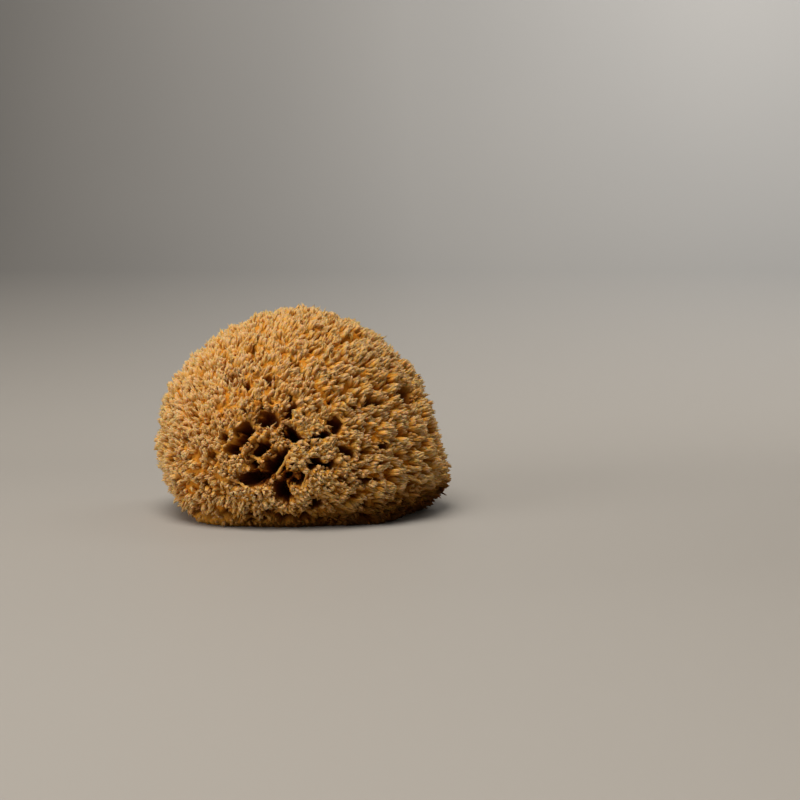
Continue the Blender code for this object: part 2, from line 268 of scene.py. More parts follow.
class Openings:
    """Every opening in the skin, each an oval well whose axis points at the growth centre."""

    def __init__(self, form: GrowthForm, sizes: OpeningSizes, random: np.random.Generator) -> None:
        """Places the openings of the solid, then the pinholes, the gaps and the pits.

        Args:
            form: the form that the openings lie in.
            sizes: their places and sizes.
            random: a generator at the seed that the solid's own places were drawn with.
        """
        self.form, self.sizes = form, sizes
        canals, hollows = np.array(sizes.canals, float), np.array(sizes.hollows, float)
        large = (canals, hollows, self.side_rows(random), self.foot_rows())
        growths = (sizes.canal_growth, sizes.hollow_growth, sizes.hollow_growth, 1.0)
        growth = np.concatenate([np.full(len(rows), by) for rows, by in zip(large, growths)])
        self.large = len(growth)
        extra = np.random.default_rng(SEED + 1)
        small = (self.pinhole_rows(extra), self.gap_rows(extra), self.pit_rows(extra))
        rows = np.concatenate((*large, *small))
        rows[: self.large, 2:4] *= growth[:, None]
        azimuth, elevation, width, height, self.depth, slant = rows.T
        self.axis = unit(azimuth, elevation)
        across, upwards = tangents(self.axis)
        turn = np.radians(slant)[:, None]
        self.across = np.cos(turn) * across - np.sin(turn) * upwards
        self.upwards = np.sin(turn) * across + np.cos(turn) * upwards
        self.half_width, self.half_height = width / 2.0, height / 2.0
        self.distance = np.minimum(form.reach(self.axis), form.floor(self.axis))

    def side_rows(self, random: np.random.Generator) -> np.ndarray:
        """Pores over the sides, back and top, each kept clear of those before it.

        Args:
            random: the generator, which is left where the solid's own drawing leaves it.

        Returns:
            Rows of azimuth, elevation, width, height, depth and slant.
        """
        sizes = self.sizes
        azimuth, elevation, reach = sizes.seen
        taken = [unit(azimuth, elevation)] + [unit(row[0], row[1]) for row in sizes.hollows]
        clearances = [reach] + [sizes.side_gap] * len(sizes.hollows)
        lowest, highest = (math.sin(math.radians(angle)) for angle in sizes.side_elevations)
        (narrow, wide), (shallow, deep) = sizes.side_widths, sizes.side_depths
        low = np.array((-180.0, lowest, narrow, narrow, shallow, -sizes.side_slant))
        high = np.array((180.0, highest, wide, wide, deep, sizes.side_slant))
        tries = low + (high - low) * random.random((sizes.side_tries, len(low)))
        tries[:, 1] = np.degrees(np.arcsin(tries[:, 1]))
        chosen = []
        for row, direction in zip(tries, unit(tries[:, 0], tries[:, 1])):
            crowded = np.any(degrees_from(np.array(taken), direction) < np.array(clearances))
            if len(chosen) < sizes.side_pores and not crowded:
                taken.append(direction)
                clearances.append(sizes.side_gap)
                chosen.append(row)
        return np.array(chosen)

    def foot_rows(self) -> np.ndarray:
        """Mouths of canals in the cut foot, along a golden spiral out from its centre."""
        sizes, count = self.sizes, self.sizes.foot_canals
        step = np.arange(count)
        nearest, farthest = sizes.foot_radii
        outwards = nearest + (farthest - nearest) * np.sqrt(step / (count - 1))
        azimuth = np.degrees(step * GOLDEN_TURN)
        elevation = -np.degrees(np.arctan2(self.form.waist_height, outwards))
        width, height = np.resize(sizes.foot_widths, count), np.resize(sizes.foot_heights, count)
        depth, slant = np.full(count, sizes.foot_depth), np.zeros(count)
        return np.stack((azimuth, elevation, width, height, depth, slant), axis=1)

    @staticmethod
    def drawn_rows(
        random: np.random.Generator, azimuth: np.ndarray, elevation: np.ndarray, limits: tuple
    ) -> np.ndarray:
        """Openings at these places, each size drawn evenly between two limits.

        Args:
            random: the generator to draw from.
            azimuth: (n,) degrees.
            elevation: (n,) degrees.
            limits: pairs for the width, the height as a share of it, the depth and the slant.

        Returns:
            Rows of azimuth, elevation, width, height, depth and slant.
        """
        width, flatness, depth, slant = (random.uniform(*pair, len(azimuth)) for pair in limits)
        return np.stack((azimuth, elevation, width, width * flatness, depth, slant), axis=1)

    def pinhole_rows(self, random: np.random.Generator) -> np.ndarray:
        """Small round holes in the walls between the canals and low on the front."""
        sizes = self.sizes
        sideways, upwards = (random.normal(scale=by, size=sizes.pinholes) for by in sizes.pinhole_spread)
        azimuth = sizes.field[0] + sideways
        elevation = sizes.field[1] - sizes.pinhole_drop + upwards
        limits = (sizes.pinhole_widths, sizes.pinhole_flatness, sizes.pinhole_depths, sizes.any_slant)
        return self.drawn_rows(random, azimuth, elevation, limits)

    def gap_rows(self, random: np.random.Generator) -> np.ndarray:
        """Gaps between the tufts, a loose spiral of them over the whole sponge."""
        sizes = self.sizes
        places = spiral_directions(sizes.gaps)
        places = normalised(places + random.normal(scale=sizes.gap_jitter, size=places.shape))
        azimuth = np.degrees(np.arctan2(places[:, 1], places[:, 0]))
        elevation = np.degrees(np.arcsin(places[:, 2]))
        width, height = random.uniform(*sizes.gap_widths, (2, sizes.gaps))
        depth, slant = (random.uniform(*pair, sizes.gaps) for pair in (sizes.gap_depths, sizes.any_slant))
        rows = np.stack((azimuth, elevation, width, height, depth, slant), axis=1)
        return rows[places[:, 2] > sizes.gap_lowest]

    def pit_rows(self, random: np.random.Generator) -> np.ndarray:
        """Dark pits in a loose row round the sponge, just over the edge of its foot."""
        sizes, count = self.sizes, self.sizes.foot_pits
        azimuth = np.arange(count) * 360.0 / count
        azimuth = azimuth + random.uniform(-sizes.pit_jitter, sizes.pit_jitter, count)
        fall = self.form.waist_height - random.uniform(*sizes.pit_heights, count)
        reach = self.form.reach(unit(azimuth, np.full(count, sizes.pit_elevation)))
        elevation = -np.degrees(np.arcsin(fall / reach))
        slant = (-sizes.pit_slant, sizes.pit_slant)
        limits = (sizes.pit_widths, sizes.pit_flatness, sizes.pit_depths, slant)
        return self.drawn_rows(random, azimuth, elevation, limits)

    def shares(self, directions: np.ndarray) -> np.ndarray:
        """Distance from each opening's axis as a share of its radius, 1 at the rim.

        Args:
            directions: (n, 3) unit vectors.

        Returns:
            (n, openings) shares, far out of reach on the other side.
        """
        along = directions @ self.axis.T
        scale = self.distance / np.maximum(along, SAME_SIDE)
        sideways = directions @ self.across.T * scale / self.half_width
        upright = directions @ self.upwards.T * scale / self.half_height
        return np.where(along > SAME_SIDE, np.hypot(sideways, upright), FAR)


@dataclass(frozen=True)
class SkinSizes:
    """Sizes of the skin under the tufts, in mm."""

    tuft: float = 4.2
    short_tuft: float = 2.2
    bare_rise: float = 0.40  # how pale the skin is where the tufts are short, from root to tip; under full tufts it keeps the root colour, partly painted shade
    collar: float = 0.45  # reach of the short tufts round an opening, as a share of its radius
    funnel: tuple[float, float] = (0.78, 0.4)  # of an opening's radius: where it rises, over how much
    well: tuple[float, float] = (0.45, 0.5)  # the same for the deep part
    funnel_share: float = 0.2  # of an opening's depth, the rest being the well's
    least_share: float = 0.05  # of its radius, nearer the axis than which nothing changes
    cut_depth: float = 0.02  # sunk by less than this, the foot is cut flat
    foot_fade: float = 11.0
    low_tuft: float = 1.7  # the tufts left at the foot itself, where the skin stands out further
    low_height: float = 10.0
    calm: tuple[float, float, float, float] = (-150, 48, 42, 34)  # azimuth, elevation, reach, fade
    calm_share: float = 0.45  # by which the tufts are shorter there
    clumps: int = 380
    clump_jitter: float = 0.035
    crease: float = 2.2
    crease_share: float = 0.45
    valley: float = 1.5  # depth of winding valleys among the clumps
    valley_wave: float = 12.0
    valley_share: float = 0.5
    ragged: float = 0.8  # how far the rims of the openings wander
    ragged_wave: float = 6.0
    fine_ragged: float = 0.45
    fine_ragged_wave: float = 2.1
    grain: float = 0.22
    grain_wave: float = 1.6
    ridge: float = 0.8  # height of the ridges on the walls between the canals
    ridge_mean: float = 0.6  # the part of that height which doesn't stand out
    ridge_wave: float = 4.2
    sectors: int = 366
    fine_step: float = 0.42
    coarse_step: float = 1.05
    fine_reach: float = 30.0
    fine_fade: float = 16.0


class Skin:
    """The surface under the tufts, a height over every direction from the growth centre."""

    def __init__(self, form: GrowthForm, openings: OpeningSizes, sizes: SkinSizes) -> None:
        """Draws the openings and clumps in the solid's own order, then the noise."""
        random = np.random.default_rng(SEED)
        self.form, self.sizes = form, sizes
        self.openings = Openings(form, openings, random)
        centres = spiral_directions(sizes.clumps)
        centres += random.normal(scale=sizes.clump_jitter, size=centres.shape)
        self.clump_centres = normalised(centres)
        self.field = unit(*openings.field[:2])
        self.field_reach, self.field_fade = openings.field[2:]
        self.calm = unit(*sizes.calm[:2])
        random = np.random.default_rng(SEED + 2)
        self.coarse_warp = [WaveNoise(random, sizes.ragged_wave) for _ in range(3)]
        self.fine_warp = [WaveNoise(random, sizes.fine_ragged_wave) for _ in range(3)]
        self.grain = WaveNoise(random, sizes.grain_wave, 30)
        self.ridges = WaveNoise(random, sizes.ridge_wave)
        self.valleys = WaveNoise(random, sizes.valley_wave)

    def shares(self, directions: np.ndarray) -> tuple[np.ndarray, np.ndarray]:
        """Shares of every opening's radius, after the directions wander with the noise.

        Args:
            directions: (n, 3) unit vectors.

        Returns:
            Shares with the coarse and the fine wander, for rims, and with the coarse alone, for
            the smooth walls further down.
        """
        points = directions * self.form.half_width
        coarse = self.sizes.ragged * np.stack([warp.at(points) for warp in self.coarse_warp], axis=1)
        fine = self.sizes.fine_ragged * np.stack([warp.at(points) for warp in self.fine_warp], axis=1)
        rims = self.openings.shares(normalised(points + coarse + fine))
        return rims, self.openings.shares(normalised(points + coarse))

    def joined(self, shares: np.ndarray) -> tuple[np.ndarray, np.ndarray]:
        """The openings taken together, so that a thin pillar among several of them is gone.

        Each opening weighs the inverse sixth power of its share. The sixth root of the sum of the
        weights is the inverse of the joined share, and the depth is the weighted mean.

        Args:
            shares: (n, openings) shares of every opening's radius.

        Returns:
            The joined share and depth, each (n,).
        """
        squares = np.maximum(shares, self.sizes.least_share) ** -2
        weights = squares * squares * squares
        total = np.maximum(weights.sum(axis=1), 1e-9)
        return total ** (-1.0 / 6.0), weights @ self.openings.depth / total

    def sunk(self, rims: np.ndarray, walls: np.ndarray) -> tuple[np.ndarray, np.ndarray]:
        """How far the openings sink the skin: a shallow ragged funnel and a smooth well in it.

        Args:
            rims: shares of every opening's radius for the funnel.
            walls: the same for the well.

        Returns:
            The depth in mm and the joined share at the rims.
        """
        sizes = self.sizes
        rim, shallow = self.joined(rims)
        wall, deep = self.joined(walls)
        funnel = 1.0 - smooth_step((rim - sizes.funnel[0]) / sizes.funnel[1])
        well = 1.0 - smooth_step((wall - sizes.well[0]) / sizes.well[1])
        share = sizes.funnel_share
        return share * shallow * funnel + (1.0 - share) * deep * well, rim

    def fullness(self, directions: np.ndarray, shares: np.ndarray) -> np.ndarray:
        """1 where the tufts are full, less at the upper left, 0 by the canals, pores and foot."""
        reach, fade = self.sizes.calm[2:]
        calm = 1.0 - smooth_step((degrees_from(directions, self.calm) - reach) / fade)
        from_field = (degrees_from(directions, self.field) - self.field_reach) / self.field_fade
        height = self.form.waist_height + directions[:, 2] * self.form.reach(directions)
        from_pore = (shares[:, : self.openings.large].min(axis=1) - 1.0) / self.sizes.collar
        edge = smooth_step(np.min((from_field, height / self.sizes.foot_fade, from_pore), axis=0))
        return edge * (1.0 - self.sizes.calm_share * calm)

    def nearest_clump(self, directions: np.ndarray) -> np.ndarray:
        """The centre of the clump that each direction lies in."""
        return self.clump_centres[np.argmax(directions @ self.clump_centres.T, axis=1)]

    def crease(self, directions: np.ndarray) -> np.ndarray:
        """How far the skin sinks midway between two clump centres and along the winding valleys."""
        nearness = np.sort(directions @ self.clump_centres.T, axis=1)
        nearest = np.arccos(np.clip(nearness[:, -1], -1.0, 1.0))
        second = np.arccos(np.clip(nearness[:, -2], -1.0, 1.0))
        clump_radius = 2.0 / math.sqrt(self.sizes.clumps)
        inwards = (second - nearest) / (clump_radius * self.sizes.crease_share * 2.0)
        aside = np.abs(self.valleys.at(directions * self.form.half_width)) / self.sizes.valley_share
        valley = self.sizes.valley * (1.0 - smooth_step(aside))
        return np.maximum(self.sizes.crease * (1.0 - smooth_step(inwards)), valley)

    def measure(self, directions: np.ndarray) -> np.ndarray:
        """Everything that is known of the skin along each direction.

        The outer distance is the form's, less the tufts, less the creases, plus grain everywhere
        and ridges between the canals. The foot's distance limits it, and the openings sink it.

        Args:
            directions: (n, 3) unit vectors.

        Returns:
            (n, 5): distance, tuft length, depth in an opening, nearest rim share, 1 on the foot.
        """
        sizes = self.sizes
        shares, walls = self.shares(directions)
        full = self.fullness(directions, shares)
        length = sizes.short_tuft + (sizes.tuft - sizes.short_tuft) * full
        height = self.form.waist_height + directions[:, 2] * self.form.reach(directions)
        low = 1.0 - smooth_step(height / sizes.low_height)
        length -= (sizes.short_tuft - sizes.low_tuft) * low * (1.0 - full)
        points = directions * self.form.half_width
        ridge = 1.0 - np.minimum(np.abs(self.ridges.at(points)), 1.0)
        ridge = sizes.ridge * (ridge - sizes.ridge_mean) * (1.0 - full)
        relief = sizes.grain * self.grain.at(points) + ridge
        outer = self.form.reach(directions) - length - self.crease(directions) * full + relief
        floor = self.form.floor(directions)
        sunk, rim = self.sunk(shares, walls)
        radius = np.minimum(outer, floor) - sunk
        return np.stack((radius, length, sunk, rim, (outer > floor) * 1.0), axis=1)

    def grid(self) -> tuple[np.ndarray, tuple[int, int]]:
        """Directions of a polar grid round the middle of the canals, finer there than elsewhere.

        The polar angle grows by the fine step near the pole and by the coarse one beyond, and the
        sectors are even, so a row is a ring round the canals and a column runs to the far pole.

        Returns:
            The two poles and the rings between them, and the number of rings and sectors.
        """
        sizes, half_width = self.sizes, self.form.half_width
        angles = [0.0]
        while angles[-1] < math.pi:
            out = float(smooth_step((math.degrees(angles[-1]) - sizes.fine_reach) / sizes.fine_fade))
            step = sizes.fine_step + (sizes.coarse_step - sizes.fine_step) * out
            angles.append(angles[-1] + step / half_width)
        rings = np.array(angles[1:-1]) * (math.pi / angles[-1])
        turn = np.arange(sizes.sectors) * 2.0 * math.pi / sizes.sectors
        across, upwards = (side[0] for side in tangents(self.field[None, :]))
        spokes = np.cos(turn)[:, None] * across + np.sin(turn)[:, None] * upwards
        body = np.cos(rings)[:, None, None] * self.field + np.sin(rings)[:, None, None] * spokes
        directions = np.concatenate((self.field[None], body.reshape(-1, 3), -self.field[None]))
        return directions, (len(rings), sizes.sectors)


@dataclass
class Surface:
    """A mesh in the making: points in mm, faces, what each point is like, and a flat map."""

    points: np.ndarray
    faces: list[np.ndarray]
    fibre: np.ndarray  # (n, 3): rise along the fibre, depth in an opening for the painted shade, own random tone
    maps: list[np.ndarray]  # for each array of faces, (faces, corners, 2)

    def build(self, name: str, finish: bpy.types.Material) -> bpy.types.Object:
        """Makes the mesh and its object at the origin.

        Args:
            name: the piece's name.
            finish: its material.

        Returns:
            The object, linked to the scene, riding on the sponge's body.
        """
        mesh = bpy.data.meshes.new(name)
        corners = np.concatenate([group.ravel() for group in self.faces])
        totals = np.concatenate([np.full(len(group), group.shape[1]) for group in self.faces])
        mesh.vertices.add(len(self.points))
        mesh.vertices.foreach_set("co", (self.points * MM).astype(np.float32).ravel())
        mesh.loops.add(len(corners))
        mesh.loops.foreach_set("vertex_index", corners.astype(np.int32))
        mesh.polygons.add(len(totals))
        mesh.polygons.foreach_set("loop_start", (np.cumsum(totals) - totals).astype(np.int32))
        mesh.update(calc_edges=True)
        mesh.shade_smooth()
        fibre = mesh.attributes.new("fibre", "FLOAT_COLOR", "POINT")
        values = np.concatenate((self.fibre, np.ones((len(self.fibre), 1))), axis=1)
        fibre.data.foreach_set("color", values.astype(np.float32).ravel())
        flat = mesh.uv_layers.new(name="OFBake")
        places = np.concatenate([group.reshape(-1, 2) for group in self.maps])
        flat.uv.foreach_set("vector", places.astype(np.float32).ravel())
        mesh.materials.append(finish)
        piece = bpy.data.objects.new(name, mesh)
        bpy.context.scene.collection.objects.link(piece)
        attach(piece, "root")
        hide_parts("sponge")
        triangles = int((totals - 2).sum())
        LOG.info("%s: %d points, %d triangles", name, len(self.points), triangles)
        return piece


def skin_surface(skin: Skin) -> Surface:
    """The skin as a closed polar grid, a point at each pole and rings of quads between.

    Args:
        skin: the height over every direction.

    Returns:
        The closed surface, marked with its depth in the openings.
    """
    directions, (rings, sectors) = skin.grid()
    known = in_blocks(skin.measure, directions)
    radius, length, sunk, _, on_foot = known.T
    points = skin.form.place(directions, radius)
    points[(on_foot > 0.5) & (sunk < skin.sizes.cut_depth), 2] = 0.0

    def corner(row: np.ndarray | int, column: np.ndarray) -> np.ndarray:
        """The number of the point on a ring, in a column."""
        return 1 + row * sectors + column % sectors

    def flat(row: np.ndarray | int, column: np.ndarray) -> np.ndarray:
        """The place of that point on the flat map, where each pole is a ring of its own."""
        return np.stack(np.broadcast_arrays(column / sectors, (row + 1.0) / (rings + 1.0)), axis=-1)

    ring, sector = (index.ravel() for index in np.indices((rings - 1, sectors)))
    steps = ((0, 0), (1, 0), (1, 1), (0, 1))  # a quad's corners, in rings and sectors from its first
    quads = np.stack([corner(ring + out, sector + beside) for out, beside in steps], axis=1)
    quad_map = np.stack([flat(ring + out, sector + beside) for out, beside in steps], axis=1)
    column, end = np.arange(sectors), rings - 1
    near = np.stack((0 * column, corner(0, column), corner(0, column + 1)), axis=1)
    near_map = np.stack((flat(-1, column + 0.5), flat(0, column), flat(0, column + 1)), axis=1)
    last = np.full(sectors, len(points) - 1)
    far = np.stack((last, corner(end, column + 1), corner(end, column)), axis=1)
    far_map = np.stack((flat(rings, column + 0.5), flat(end, column + 1), flat(end, column)), axis=1)
    bare = np.minimum((skin.sizes.tuft - length) / (skin.sizes.tuft - skin.sizes.short_tuft), 1.0)
    rise = skin.sizes.bare_rise * bare
    # depth in an opening, which the finish turns into painted shade
    depth, shade = np.clip(sunk / DARKEST_SHADE_DEPTH, 0.0, 1.0), np.full(len(points), 0.5)
    fibre = np.stack((rise, depth, shade), axis=1)
    return Surface(points, [quads, near, far], fibre, [quad_map, near_map, far_map])


def closed_shapes(body: np.ndarray, tops: np.ndarray, fibre: np.ndarray, top_fibre: np.ndarray) -> Surface:
    """Closed shapes of one layout: rings of points, a face under the first, a fan over the last.

    Args:
        body: (n, rings, sides, 3) points in mm, each ring turning left as seen from the top.
        tops: (n, 3) the point that closes the last ring.
        fibre: (n, rings, sides, 3) what each point is like.
        top_fibre: (n, 3) what each closing point is like.

    Returns:
        The shapes as one surface, each in its own cell of the flat map.
    """
    count, rings, sides, _ = body.shape
    per_shape = rings * sides + 1
    points = np.concatenate((body.reshape(count, -1, 3), tops[:, None]), axis=1)
    marks = np.concatenate((fibre.reshape(count, -1, 3), top_fibre[:, None]), axis=1)

    ring, side = (index.ravel() for index in np.indices((rings - 1, sides)))
    steps = ((0, 0), (0, 1), (1, 1), (1, 0))  # a quad's corners, in rings and sides from its first
    quads = np.stack([(ring + up) * sides + (side + beside) % sides for up, beside in steps], axis=1)
    rim, top = np.arange(sides), (rings - 1) * sides
    fan = np.stack((top + rim, top + (rim + 1) % sides, np.full(sides, per_shape - 1)), axis=1)
    under = rim[None, ::-1]

    columns = max(1, math.ceil(math.sqrt(count * (rings + 1) / (sides + 1.0))))
    rows = math.ceil(count / columns)
    cell = np.stack((np.arange(count) % columns, np.arange(count) // columns), axis=1)

    def mapped(across: np.ndarray, along: np.ndarray) -> np.ndarray:
        """Places in every shape's cell, from sides across and rings along it."""
        share = np.stack((across / sides, along / (rings + 1.0)), axis=-1)
        share = CELL_MARGIN + (1.0 - 2.0 * CELL_MARGIN) * share
        spots = (cell[:, None, None, :] + share[None]) / np.array((columns, rows))
        return spots.reshape(-1, *across.shape[1:], 2)

    quad_across = np.stack([side + beside for _, beside in steps], axis=1)
    quad_map = mapped(quad_across, np.stack([ring + up + 1 for up, _ in steps], axis=1))
    fan_ends = np.broadcast_to((rings, rings, rings + 1.0), (sides, 3))
    fan_map = mapped(np.stack((rim, rim + 1.0, rim + 0.5), axis=1), fan_ends)
    # The face under the first ring is an oval in the strip that the rings leave free
    turn = under * 2.0 * math.pi / sides
    under_map = mapped(sides * (0.5 + 0.3 * np.cos(turn)), 0.5 + 0.4 * np.sin(turn))

    shift = (np.arange(count) * per_shape)[:, None, None]
    faces = [(group[None] + shift).reshape(-1, group.shape[1]) for group in (quads, fan, under)]
    return Surface(points.reshape(-1, 3), faces, marks.reshape(-1, 3), [quad_map, fan_map, under_map])


@dataclass(frozen=True)
class TuftSizes:
    """Sizes of one kind of tuft, in mm or as shares of a tuft's length or width."""

    name: str = "tufts"
    seed: int = 3
    count: int = 11200  # over the whole ball of directions, before those in openings are left out
    short: bool = False  # whether this kind grows where the tufts are short, or where they are full
    jitter: float = 0.36  # of the spacing
    clear: float = 1.04  # of an opening's radius, nearer than which no tuft stands
    lining: float = 0.0  # depth down to which an opening is lined with tufts all the same
    even_radius: float = 60.0  # nearer the centre than this, tufts are thinned out to stay as far apart
    embedded: float = 0.9
    extra: float = 0.9  # by which a tuft is longer than in the solid, from deeper down
    beyond: float = 0.4  # by which the longest tips pass the form, as many fall short of it
    width: float = 1.14
    lobes: int = 4
    tips: tuple = (-0.22, 0.22)  # places of a lobe's tips round the tuft, in lobes
    notch_place: float = 0.5  # the same for the notch beside them
    peaks: tuple[float, float] = (0.84, 1.06)
    notch: float = 0.62  # height of the notch
    fray: float = 0.10  # by which the tips of one lobe differ in height
    blunt: float = 0.13  # by which a tip's shoulder lies under its crown
    splay: tuple[float, float] = (0.55, 1.02)
    dip: float = 0.56  # height of the hollow between the lobes
    middle: float = 0.46  # height of the ring half way up
    root_girth: float = 0.95  # as a share of the width, like those below
    middle_girths: tuple[float, float] = (0.98, 0.70)  # in line with a tip and with a notch
    notch_girths: tuple[float, float] = (0.42, 0.25)  # in a notch, at the shoulders and the crowns
    crown_girth: float = 0.6  # as a share of the tip's own splay
    # Colours from root to tip: the lower ones, at roots, notches and dips, are partly painted shade among
    # the lobes
    middle_rise: float = 0.40  # colour half way up, from root to tip
    shoulder_rise: float = 0.92  # as a share of the crown's
    notch_rise: float = 0.55
    dip_rise: float = 0.45
    root_rise: float = 0.0  # where a tuft's colour starts, from root to tip
    short_rise: float = 0.7  # where it starts for the shortest tufts
    flatness: float = 0.26  # by which a tuft is wider one way than the other
    combed: tuple[float, float, float] = (-30.0, -8.0, -2.0)  # where the tufts point away from
    lean: float = 0.14
    clump_pull: float = 0.19  # at a clump's edge
    clump_radius: float = 0.08  # in radians
    bend: float = 0.12
    length_variation: float = 0.13
    uneven: float = 0.07  # slow change of the length over the sponge
    uneven_wave: float = 9.0
    width_variation: float = 0.34
    lowest_root: float = 0.8  # height over the floor, lower than which no tuft stands
    lowest: float = 0.25  # height over the floor of the lowest point of a tuft
    bare_heights: tuple[float, float] = (4.0, 12.0)  # between which they thin out to the foot


NUBS = TuftSizes(
    name="nubs",
    seed=4,
    count=26000,
    short=True,
    clear=1.0,
    lining=2.8,
    bare_heights=(0.0, 10.0),
    width=0.80,
    lobes=3,
    embedded=0.8,
    tips=(0.0,),
    peaks=(0.70, 1.14),
    blunt=0.2,
    root_rise=0.30,
    splay=(0.5, 1.0),
    dip=0.72,
    lean=0.22,
    bend=0.20,
    length_variation=0.25,
)


class Tufts:
    """Tufts that stand on the skin, each a lobed body that ends in several tips."""

    OWN_DRAWS = 5  # random shares for a tuft's length, width, turn, flat side and shade

    def __init__(self, skin: Skin, sizes: TuftSizes) -> None:
        """Spreads the tufts over the skin, outside the openings and off the cut foot."""
        self.skin, self.sizes = skin, sizes
        self.random = np.random.default_rng(SEED + sizes.seed)
        spacing = math.sqrt(4.0 * math.pi / sizes.count)
        directions = spiral_directions(sizes.count)
        directions += self.random.normal(scale=sizes.jitter * spacing, size=directions.shape)
        directions = normalised(directions)
        known = in_blocks(skin.measure, directions)
        height = skin.form.place(directions, known[:, 0])[:, 2]
        reach = skin.form.reach(directions)
        share = self.full(known[:, 1])
        chance = (1.0 - share if sizes.short else share) * np.minimum(reach / sizes.even_radius, 1.0) ** 2
        bare, grown = sizes.bare_heights
        chance = chance * np.clip((height - bare) / (grown - bare), 0.0, 1.0)
        shallow = (known[:, 3] > sizes.clear) | (known[:, 2] < sizes.lining)
        kept = shallow & (known[:, 4] < 0.5) & (height > sizes.lowest_root)
        kept &= self.random.random(sizes.count) < chance
        self.directions, self.known = directions[kept], known[kept]
        self.uneven = WaveNoise(self.random, sizes.uneven_wave)

    def full(self, length: np.ndarray) -> np.ndarray:
        """0 where the skin asks for the shortest tufts and 1 for the longest."""
        short, tall = self.skin.sizes.short_tuft, self.skin.sizes.tuft
        return np.clip((length - short) / (tall - short), 0.0, 1.0)

    def outwards(self, directions: np.ndarray, chance: np.ndarray) -> np.ndarray:
        """Which way tufts point: away from a point beside the centre, and a little to their clump.

        Args:
            directions: (n, 3) where the tufts stand.
            chance: (n, 3) random lean.

        Returns:
            (n, 3) unit vectors.
        """
        clump = in_blocks(self.skin.nearest_clump, directions)
        reach = self.skin.form.reach(directions)
        combed = normalised(directions * reach[:, None] - np.array(self.sizes.combed))
        pull = self.sizes.clump_pull * (clump - directions) / self.sizes.clump_radius
        return normalised(combed + self.sizes.lean * chance + pull)

    def rings(self, lobe_draws: np.ndarray, tip_draws: np.ndarray) -> tuple[np.ndarray, ...]:
        """The four rings of a tuft: its root, half way up, the shoulders of its tips, their crowns.

        A ring's points are shared out among the lobes: each lobe has one or two tips, further up
        and out, and a notch beside them.

        Args:
            lobe_draws: (n, 2 x sides) random shares, first for a lobe's height, then for its splay.
            tip_draws: (n, sides) random shares for each tip's height.

        Returns:
            Heights, girths and colours from root to tip, each (n, 4, sides).
        """
        sizes, ones = self.sizes, np.ones_like(tip_draws)
        tip = np.tile(np.arange(len(sizes.tips) + 1) < len(sizes.tips), sizes.lobes)
        (lowest, highest), (inner, outer) = sizes.peaks, sizes.splay
        high, out = np.split(lobe_draws, 2, axis=1)
        peak = lowest + (highest - lowest) * high - sizes.fray * tip_draws
        splay = inner + (outer - inner) * out
        crown = np.where(tip, peak, sizes.notch)
        shoulder = np.where(tip, peak - sizes.blunt, sizes.notch)
        heights = np.stack((0.0 * ones, sizes.middle * ones, shoulder, crown), axis=1)

        low_notch, high_notch = sizes.notch_girths
        waist = np.where(tip, *sizes.middle_girths) * ones
        shoulder = np.where(tip, splay, low_notch)
        crown = np.where(tip, sizes.crown_girth * splay, high_notch)
        girths = np.stack((sizes.root_girth * ones, waist, shoulder, crown), axis=1)

        top = np.where(tip, 1.0, sizes.notch_rise) * ones
        rises = np.stack((0.0 * ones, sizes.middle_rise * ones, sizes.shoulder_rise * top, top), axis=1)
        return heights, girths, rises

    def shape(self, chosen: np.ndarray) -> Surface:
        """The chosen tufts, worked out together.

        A tuft's axis bends with the square of the way along it, its rings lie round the axis, and
        the hollow between its lobes closes the last ring.

        Args:
            chosen: a mask over the tufts.

        Returns:
            The tufts' surface.
        """
        sizes, everything = self.sizes, len(self.directions)
        random = np.random.default_rng(SEED + 10 * sizes.seed)
        places = np.array((*sizes.tips, sizes.notch_place))
        sides = sizes.lobes * len(places)
        draws = random.random((everything, self.OWN_DRAWS + 2 * sizes.lobes + sides))[chosen]
        chance = random.normal(size=(everything, 5))[chosen]  # three for the lean, two for the bend
        longer, wider, turned, flattened, shade = draws[:, : self.OWN_DRAWS].T
        lobe_draws = np.repeat(draws[:, self.OWN_DRAWS : -sides], len(places), axis=1)
        heights, girths, rises = self.rings(lobe_draws, draws[:, -sides:])
        directions, (radius, length, sunk, _, _) = self.directions[chosen], self.known[chosen].T
        outwards = self.outwards(directions, chance[:, :3])

        full = self.full(length)
        slow = self.uneven.at(directions * self.skin.form.half_width)
        change = sizes.length_variation * (2.0 * longer - 1.0) + sizes.uneven * slow
        total = (length + (sizes.extra + sizes.beyond) * full) * (1.0 + change) + sizes.embedded
        width = sizes.width * (1.0 + sizes.width_variation * (2.0 * wider - 1.0))
        root = self.skin.form.place(directions, radius - sizes.embedded - sizes.extra * full)
        across, upwards = tangents(directions)
        bend = (chance[:, 3:4] * across + chance[:, 4:5] * upwards) * sizes.bend

        turn = (np.arange(sizes.lobes)[:, None] + places).ravel() * 2.0 * math.pi / sizes.lobes
        turn = turned[:, None] * 2.0 * math.pi + turn
        stretch = 1.0 + sizes.flatness * np.cos(2.0 * (turn - flattened[:, None] * math.pi))
        first, second = tangents(outwards)
        aside = np.cos(turn)[..., None] * first[:, None] + np.sin(turn)[..., None] * second[:, None]
        aside *= stretch[..., None]
        way = outwards[:, None, None] * heights[..., None] + bend[:, None, None] * heights[..., None] ** 2
        body = root[:, None, None] + total[:, None, None, None] * way
        body += aside[:, None] * (girths * width[:, None, None])[..., None]
        tops = root + total[:, None] * (outwards * sizes.dip + bend * sizes.dip**2)
        body[..., 2] = np.maximum(body[..., 2], sizes.lowest)
        tops[:, 2] = np.maximum(tops[:, 2], sizes.lowest)
